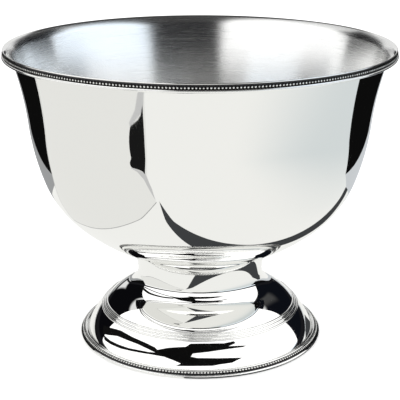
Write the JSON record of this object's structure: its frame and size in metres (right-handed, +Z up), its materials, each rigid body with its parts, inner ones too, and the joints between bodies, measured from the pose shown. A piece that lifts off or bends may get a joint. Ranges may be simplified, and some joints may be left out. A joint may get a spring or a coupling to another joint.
{
  "type": "punch bowl",
  "caption": "Deep round punch bowl in polished steel with a flared beaded rim, on a hollow pedestal foot with a narrow neck, domed step and beaded base.",
  "frame": {"origin": "on the bowl's axis, on the plane that the foot stands on", "axes": "+Z up along the bowl's axis; X and Y are alike, because the bowl is round"},
  "size_m": [0.381, 0.381, 0.2969],
  "materials": {
    "polished_steel": "mirror polished outside, satin with fine circular lines inside the bowl",
    "border_metal": "mirror polished, darker in the gaps between the beads",
    "plain_steel": "plain turned or zinc plated, out of sight inside the foot"
  },
  "bodies": {
    "root": {"bowl": "polished_steel", "rim_border": "border_metal", "rim_bead_wire": "border_metal", "pedestal_foot": "polished_steel", "foot_border": "border_metal", "foot_bead_wire": "border_metal", "stud_plate": "plain_steel", "threaded_stud": "plain_steel", "neck_web": "plain_steel", "flat_washer": "plain_steel", "spring_washer": "plain_steel", "hex_nut": "plain_steel"}
  },
  "joints": []
}
